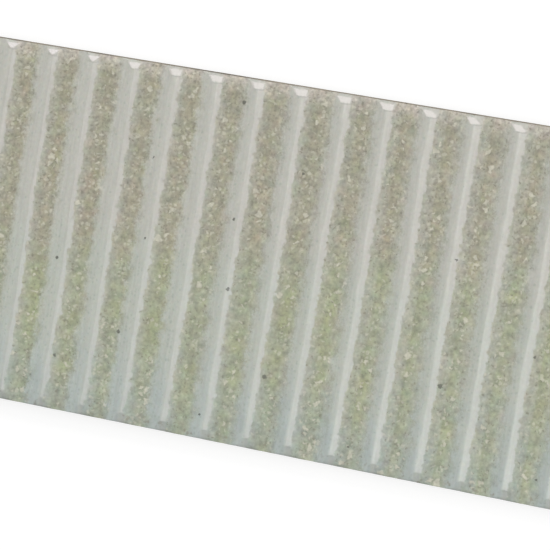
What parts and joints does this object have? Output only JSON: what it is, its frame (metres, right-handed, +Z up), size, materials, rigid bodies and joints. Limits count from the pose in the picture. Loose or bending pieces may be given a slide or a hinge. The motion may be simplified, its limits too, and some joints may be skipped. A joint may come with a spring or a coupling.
{
  "type": "ribbed glazed wall tile",
  "caption": "Oblong ceramic wall tile with rounded ribs across its glazed face, rib ends that slope down to its long edges and keying channels on its unglazed back; bedded on a wall as a facing.",
  "frame": {"origin": "centre of the bedding face on the back, midway along and across the tile", "axes": "+X along the tile's length, +Y across it along the ribs, +Z up from the back to the glazed face"},
  "size_m": [0.3, 0.1, 0.011],
  "materials": {
    "raku_glaze": "grey-green raku glaze, glossy and pale on the rib crests, satin olive with cream flecks in the grooves, over buff unglazed clay on the sides and back"
  },
  "bodies": {
    "root": {"glazed_tile": "raku_glaze"}
  },
  "joints": []
}
